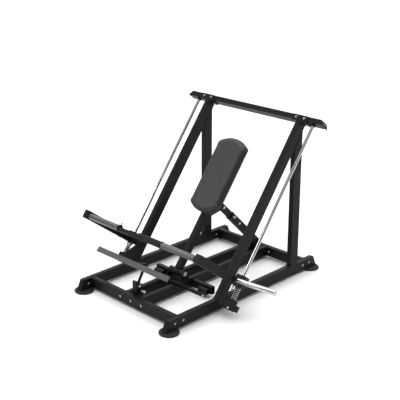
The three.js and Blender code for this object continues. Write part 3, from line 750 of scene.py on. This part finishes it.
def carriage_hardware():
    beads, screws = [], []
    for sign, _ in SIDES:
        arm_root = on_slope(sign * ARM_X, ARM_FACE_BEHIND, 215)
        corners = rectangle_at(arm_root, RIGHT, UPHILL, ARM_HALF_WIDTH * MM, ARM_HALF_HEIGHT * MM)
        beads.append((corners, True))
        beads.append((ring_on_slope(sign * 699.4, BAR_BEHIND, BAR_UPHILL, 32), True))
        beads.append((ring_on_slope(sign * (HORN_X + 0.3), HORN_BEHIND, HORN_UPHILL, 42.4, 48), True))
        for uphill in (190, 271):
            screws.append((on_slope(sign * 766.2, ROD_BEHIND, uphill), RIGHT * sign))
            screws.append((on_slope(sign * ROD_X, 88.2, uphill), BEHIND))
    weld("carriage_welds", "carriage", beads, 3.0)
    shapes = [placed(button_head(5.5, 3.6, 0), point, direction) for point, direction in screws]
    piece("housing_screws", merged(shapes), STEEL, "carriage", 0.3 * MM)
    block = [(on_slope(sign * 112, -575, 196), -UPHILL) for sign, _ in SIDES]
    block += [(on_slope(sign * 133.2, -476, 232), RIGHT * sign) for sign, _ in SIDES]
    hex_bolts("rest_block_bolts", "carriage", block, 16, 7)
    rings = [(ring_on_slope(sign * 270, BAR_BEHIND, BAR_UPHILL, 27), True) for sign, _ in SIDES]
    weld("press_bar_welds", "carriage", rings, 2.4)
    knob = turned_mm([(0, -2), (3, -2), (3, 9), (7, 10), (8, 13), (8, 18), (6, 20), (0, 20)], 20)
    lock = placed(knob, on_slope(-277, BAR_BEHIND, 244), UPHILL)
    piece("bar_lock_knob", lock, ZINC, "carriage")


# ---------- backrest and strut hardware ----------
def pivot_hardware():
    """The pad pivot's bolts, washers and welds."""
    heads, washers, beads = [], [], []
    for sign, _ in SIDES:
        heads.append((PAD_PIVOT + RIGHT * (sign * 98.2 * MM), RIGHT * sign))
        spacer = hollow_mm(16, 35, 0, 1.7, 36)
        washers.append(placed(spacer, PAD_PIVOT + RIGHT * (sign * 88.1 * MM), RIGHT * sign))
        foot = PAD_PIVOT + RIGHT * (sign * 98.4 * MM) - UPWARD * (42.4 * MM)
        beads.append(([foot + FRONTWARD * (54 * MM), foot + REARWARD * (54 * MM)], False))
    hex_bolts("pad_pivot_bolts", "frame", heads, 34, 13)
    piece("pad_pivot_washers", merged(washers), NYLON, "frame")
    strut_hardware()
    pull_pin("strut_plunger", "strut_pull_pin", "strut_pin", 6)
    pull_pin("footrest_plunger", "footrest_pull_pin", "footrest_pin", 44)
    post_welds()
    weld("pivot_bracket_welds", "frame", beads, 2.8)
    screws = [(on_pad(0, POST_HALF + 0.2, up), PAD_BEHIND) for up in (820, 1090)]
    button_bolts("pad_fixing_screws", "backrest", screws, 9, 6)


def strut_hardware():
    anchors = [(STRUT_FOOT + RIGHT * (sign * 34.2 * MM), RIGHT * sign) for sign, _ in SIDES]
    hex_bolts("strut_anchor_bolts", "frame", anchors, 26, 10)
    eyes = [(on_pad(sign * 29.2, 169.6, 741.5), RIGHT * sign) for sign, _ in SIDES]
    hex_bolts("strut_top_bolts", "backrest", eyes, 24, 9)
    clamps = [(on_strut(sign * 25.2, 0, 402), RIGHT * sign) for sign in (1, -1)]
    hex_bolts("strut_clamp_bolts", "strut_outer", clamps, 20, 9)
    mouth = on_strut(0, 0, STRUT_MOUTH)
    ring = rectangle_at(mouth, RIGHT, STRUT_ABOVE, STRUT_HALF * MM, STRUT_HALF_DEPTH * MM)
    weld("strut_mouth_bead", "strut_outer", [(ring, True)], 2.2)
    boss = turned_mm([(9.4, 0), (16, 0), (16, 3), (14, 4.5), (9.4, 4.5)], 28)
    shape = placed(boss, on_strut(25.2, 0, 536), RIGHT)
    piece("strut_pin_boss", shape, BLACK, "strut_outer", 0.5 * MM)


def post_welds():
    """A bead round the post's foot and one along each strut lug."""
    square = rectangle_at(on_pad(0, 0, 33.2), RIGHT, PAD_BEHIND, POST_HALF * MM, POST_HALF * MM)
    beads = [(square, True)]
    for sign, _ in SIDES:
        lug = [on_pad(sign * 29.2, POST_HALF + 0.5, up) for up in (578, 704)]
        beads.append((lug, False))
    weld("pad_post_welds", "backrest", beads, 3.0)


def post_cap():
    """A plastic cap in the open top of the pad post."""
    base = on_pad(0, 0, 1150.3)
    vertices = []
    for half, height in ((29.5, 0), (29.5, 3), (25, 5.5)):
        vertices += rectangle_at(base + PAD_UP * (height * MM), RIGHT, PAD_BEHIND, half * MM, half * MM)
    faces = [[3, 2, 1, 0], [8, 9, 10, 11]]
    for ring in (0, 4):
        for k in range(4):
            after = (k + 1) % 4
            faces.append([ring + k, ring + after, ring + 4 + after, ring + 4 + k])
    piece("pad_post_cap", (vertices, faces), NYLON, "backrest", 1.2 * MM)


def footrest_hardware():
    heads = [(FOOTREST_HINGE + RIGHT * (sign * 24.2 * MM), RIGHT * sign) for sign, _ in SIDES]
    hex_bolts("footrest_hinge_bolts", "frame", heads, 22, 9)


# ---------- back pad ----------
PAD_HALF = 176.0
PAD_BOTTOM, PAD_TOP, PAD_BULGE = 658.0, 1292.0, 66.0
PAD_MIDDLE_UP = 967
OUTLINE_STEP, CORNER_REACH = 4.0, 26.0
CLOTH_FRAMES = 20


def pad_outline(inset, count=48):
    """The pad's outline of straight sides and arced ends, as (x, up) points in millimetres."""
    half, bulge = PAD_HALF - inset, PAD_BULGE - inset * 0.35
    radius = (half * half + bulge * bulge) / (2 * bulge)
    spread = math.asin(half / radius)
    top = PAD_TOP - inset * 0.4 + bulge - radius
    bottom = PAD_BOTTOM + inset * 0.4 - bulge + radius
    points = []
    for centre, middle in ((top, math.pi / 2), (bottom, 1.5 * math.pi)):
        for i in range(count + 1):
            t = middle - spread + 2 * spread * i / count
            points.append((radius * math.cos(t), centre + radius * math.sin(t)))
    return soften(points)


def soften(points):
    """Rounds the outline's four corners by averaging each point along a short stretch of the outline."""
    loop = resampled([Vector((x, up, 0)) for x, up in points], OUTLINE_STEP, True)
    reach = round(CORNER_REACH / OUTLINE_STEP)
    smooth = []
    for i in range(len(loop)):
        window = [loop[(i + k) % len(loop)] for k in range(-reach, reach + 1)]
        smooth.append(sum(window, Vector((0, 0, 0))) / len(window))
    return [(p.x, p.y) for p in smooth]


def cushion_start():
    """The cushion before it is inflated: stacked outlines with a rounded front edge."""
    sides = [(2.0, PAD_REAR), (-1.0, PAD_REAR - 4), (-3.0, -60), (-3.0, -76)]
    front_edge = [(-0.5, -84), (5.0, -89.5), (13.0, -92)]
    rings = []
    for inset, behind in sides + front_edge:
        rings.append([on_pad(x, behind, up) for x, up in pad_outline(inset)])
    vertices = [v for ring in rings for v in ring]
    starts = [sum(len(r) for r in rings[:i]) for i in range(len(rings))]
    faces = []
    for i in range(len(rings) - 1):
        faces.extend(stitched(starts[i], len(rings[i]), starts[i + 1], len(rings[i + 1])))
    faces.append(list(range(len(rings[0])))[::-1])
    faces.append([starts[-1] + k for k in range(len(rings[-1]))])
    return vertices, faces


def stitched(a0, a_count, b0, b_count):
    """Triangles between two closed rings that run the same way round but may differ in count."""
    faces, i, j = [], 0, 0
    while i < a_count or j < b_count:
        if j >= b_count or (i < a_count and i / a_count <= j / b_count):
            faces.append([a0 + i % a_count, a0 + (i + 1) % a_count, b0 + j % b_count])
            i += 1
        else:
            faces.append([a0 + i % a_count, b0 + (j + 1) % b_count, b0 + j % b_count])
            j += 1
    return faces


def inflate(obj, cap):
    """Inflates the cushion as sewn cloth over foam.

    The board holds its back, and no point moves further than cap.
    """
    scene = bpy.context.scene
    mesh = obj.data
    rest = [v.co.copy() for v in mesh.vertices]
    held = obj.vertex_groups.new(name="held")
    held_from = (PAD_PIVOT + PAD_BEHIND * (PAD_REAR * MM)).dot(PAD_BEHIND) - 7 * MM
    held.add([v.index for v in mesh.vertices if v.co.dot(PAD_BEHIND) > held_from], 1.0, "REPLACE")
    cloth = obj.modifiers.new("cloth", "CLOTH")
    cloth.settings.quality = 5
    cloth.settings.mass = 0.3
    cloth.settings.use_pressure = True
    cloth.settings.uniform_pressure_force = 4
    cloth.settings.tension_stiffness = 40
    cloth.settings.compression_stiffness = 40
    cloth.settings.bending_stiffness = 4
    cloth.settings.vertex_group_mass = "held"
    cloth.settings.effector_weights.gravity = 0
    cloth.collision_settings.use_collision = False
    scene.frame_start, scene.frame_end = 1, CLOTH_FRAMES
    cloth.point_cache.frame_start, cloth.point_cache.frame_end = 1, CLOTH_FRAMES
    for step in range(1, CLOTH_FRAMES + 1):
        scene.frame_set(step)
    evaluated = obj.evaluated_get(bpy.context.evaluated_depsgraph_get())
    moved = [v.co.copy() for v in evaluated.data.vertices]
    obj.modifiers.remove(cloth)
    for vertex, start, end in zip(mesh.vertices, rest, moved):
        shift = end - start
        if shift.length > 1e-9:
            shift *= min(1.0, cap / shift.length)
        vertex.co = start + shift
    scene.frame_set(1)


def remeshed(obj, voxel):
    """Gives the object an even mesh, so that the cloth has no long triangles."""
    remesh = obj.modifiers.new("remesh", "REMESH")
    remesh.mode = "VOXEL"
    remesh.voxel_size = voxel
    remesh.use_smooth_shade = True
    bpy.context.view_layer.update()
    evaluated = obj.evaluated_get(bpy.context.evaluated_depsgraph_get())
    mesh = bpy.data.meshes.new_from_object(evaluated)
    obj.modifiers.clear()
    obj.data = mesh


def back_pad():
    pad = piece("back_cushion", cushion_start(), VINYL, "backrest")
    remeshed(pad, 5 * MM)
    inflate(pad, 9 * MM)
    smooth = pad.modifiers.new("smooth", "SMOOTH")
    smooth.factor = 0.5
    smooth.iterations = 4
    finer = pad.modifiers.new("finer", "SUBSURF")
    finer.levels = finer.render_levels = 1
    pad.data.polygons.foreach_set("use_smooth", [True] * len(pad.data.polygons))
    pad.data.materials.clear()
    pad.data.materials.append(VINYL)
    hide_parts("back_pad")
    pad_seams(pad)


def pad_seams(pad):
    """Welts on the cushion's surface, one round the front panel and one by the board.

    Each point of a welt is found by looking inwards at the cushion from outside.
    """
    depsgraph = bpy.context.evaluated_depsgraph_get()
    tree = BVHTree.FromObject(pad.evaluated_get(depsgraph), depsgraph)
    from_local = pad.matrix_world
    to_local = from_local.inverted()
    welts = (("pad_front_welt", PAD_SEAM, 1.7), ("pad_rear_welt", PAD_REAR - 3.4, 1.5))
    for name, behind, radius in welts:
        path = []
        for x, up in pad_outline(0)[::2]:
            rise = up - PAD_MIDDLE_UP
            outside = to_local @ on_pad(x * 1.2, behind, rise * 1.2 + PAD_MIDDLE_UP)
            inside = to_local @ on_pad(x * 0.6, behind, rise * 0.75 + PAD_MIDDLE_UP)
            hit = tree.ray_cast(outside, (inside - outside).normalized())[0]
            if hit is not None:
                path.append(from_local @ hit)
        piece(name, swept(path, radius * MM, 8, True), SEAM, "backrest")


# ---------- camera, light and floor ----------
def camera():
    azimuth, pitch = math.radians(45), math.radians(20)
    data = bpy.data.cameras.new("camera")
    data.lens = 80
    data.sensor_width = 36
    data.clip_end = 100
    obj = bpy.data.objects.new("camera", data)
    obj.location = (5.461, -5.4638, 3.613)
    level = math.cos(pitch)
    ahead = Vector((-math.sin(azimuth) * level, math.cos(azimuth) * level, -math.sin(pitch)))
    aim(obj, ahead)
    bpy.context.scene.camera = obj


def aim(obj, direction):
    """Turns a camera or light to look along a direction, and links it to the scene."""
    obj.rotation_mode = "QUATERNION"
    obj.rotation_quaternion = direction.to_track_quat("-Z", "Y")
    bpy.context.scene.collection.objects.link(obj)


def area_light(name, place, target, side, power):
    data = bpy.data.lights.new(name, "AREA")
    data.shape = "RECTANGLE"
    data.size = data.size_y = side
    data.energy = power
    obj = bpy.data.objects.new(name, data)
    obj.location = place
    aim(obj, Vector(target) - Vector(place))


def sun_light(name, direction, power, spread):
    """A very wide sun, which gives soft shadows."""
    data = bpy.data.lights.new(name, "SUN")
    data.energy = power
    data.angle = spread
    aim(bpy.data.objects.new(name, data), Vector(direction))


def studio_world():
    """A bright ceiling over dark upper walls and a pale horizon, for streaks in polished parts.

    The stops are (sine of the height above the horizon, brightness).
    """
    world = bpy.data.worlds.new("studio")
    world.use_nodes = True
    tree = world.node_tree
    direction = tree.nodes.new("ShaderNodeTexCoord").outputs["Generated"]
    parts = tree.nodes.new("ShaderNodeSeparateXYZ")
    tree.links.new(direction, parts.inputs["Vector"])
    ramp = tree.nodes.new("ShaderNodeValToRGB")
    stops = ((0.0, 0.8), (0.12, 0.7), (0.27, 0.05), (0.42, 0.03), (0.62, 0.4), (0.95, 1.2))
    while len(ramp.color_ramp.elements) < len(stops):
        ramp.color_ramp.elements.new(0.5)
    for element, (position, value) in zip(ramp.color_ramp.elements, stops):
        element.position = position
        element.color = (value, value, value, 1)
    tree.links.new(parts.outputs["Z"], ramp.inputs["Fac"])
    background = tree.nodes["Background"]
    tree.links.new(ramp.outputs["Color"], background.inputs["Color"])
    background.inputs["Strength"].default_value = 1.0
    return world


def studio():
    scene = bpy.context.scene
    scene.view_settings.view_transform = "Standard"
    scene.world = studio_world()
    sun_light("overhead", (0.25, -0.35, -1), 2.8, math.radians(100))
    area_light("key", (-2.4, -3.6, 3.6), (0, 0, 0.6), 1.2, 60)
    floor()


def floor():
    reach = 30
    mesh = bpy.data.meshes.new("floor")
    mesh.from_pydata([(a * reach, b * reach, 0) for a, b in CORNERS], [], [(0, 1, 2, 3)])
    m = Nodes("floor")
    m.link(m.ramp(m.noise(2, 2), (0.3, grey(0.86)), (0.7, grey(0.88))), m.shader.inputs["Base Color"])
    m.link(m.spread(m.noise(9, 2), 0.6, 0.7), m.shader.inputs["Roughness"])
    mesh.materials.append(m.material)
    plane = bpy.data.objects.new("floor", mesh)
    bpy.context.scene.collection.objects.link(plane)


camera()
studio()
dress_cad_nodes()
base_hardware()
base_welds()
rail_and_post_welds()
low_cross_hardware()
crossbar_hardware()
guide_rod_hardware()
horns_and_bars()
carriage_hardware()
pivot_hardware()
post_cap()
footrest_hardware()
back_pad()
